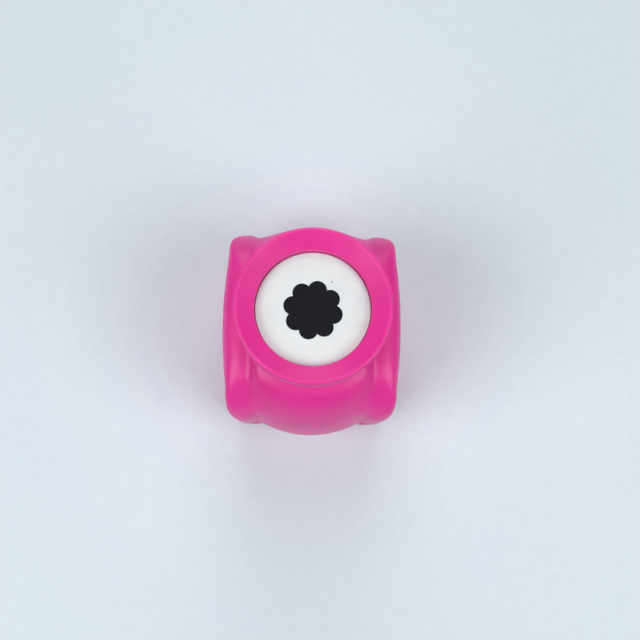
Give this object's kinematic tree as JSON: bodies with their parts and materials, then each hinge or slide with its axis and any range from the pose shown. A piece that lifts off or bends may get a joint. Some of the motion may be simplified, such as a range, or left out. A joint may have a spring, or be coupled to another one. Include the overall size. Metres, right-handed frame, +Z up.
{
  "type": "craft punch",
  "caption": "Small push-button paper punch with a round cap over a rounded plastic body; it cuts flower shapes from paper slid into the front slot.",
  "frame": {"origin": "where the button's axis meets the table, in the middle of the base", "axes": "+Z up along the button's axis, -Y towards the front where the paper goes in, +X to the user's right"},
  "size_m": [0.0332, 0.0402, 0.043],
  "materials": {
    "pink_plastic": "satin",
    "white_label": "satin",
    "black_print": "matt ink",
    "die_steel": "ground",
    "spring_steel": "drawn wire",
    "plated_steel": "zinc plated",
    "holder_zinc": "die cast",
    "pad_rubber": "matt"
  },
  "bodies": {
    "housing": {"upper_shell": "pink_plastic", "base_shell": "pink_plastic", "bottom_pad": "pad_rubber", "guide_plate": "die_steel", "paper_stop": "die_steel", "die_plate": "die_steel", "die_rivets": "plated_steel", "rear_screws": "plated_steel", "guide_screws": "plated_steel", "base_screws": "plated_steel", "spring_seat": "plated_steel", "return_spring": "spring_steel"},
    "button": {"press_button": "pink_plastic", "label_disc": "white_label", "flower_print": "black_print", "button_screw": "plated_steel", "screw_washer": "plated_steel", "punch_holder": "holder_zinc", "flower_punch": "die_steel"}
  },
  "joints": [
    {"name": "button_press", "type": "slide", "parent": "housing", "child": "button", "axis": [0, 0, -1], "range_m": [0, 0.006], "stiffness_N_per_m": 1200, "springref_m": -0.004, "deforming": ["return_spring"]}
  ]
}
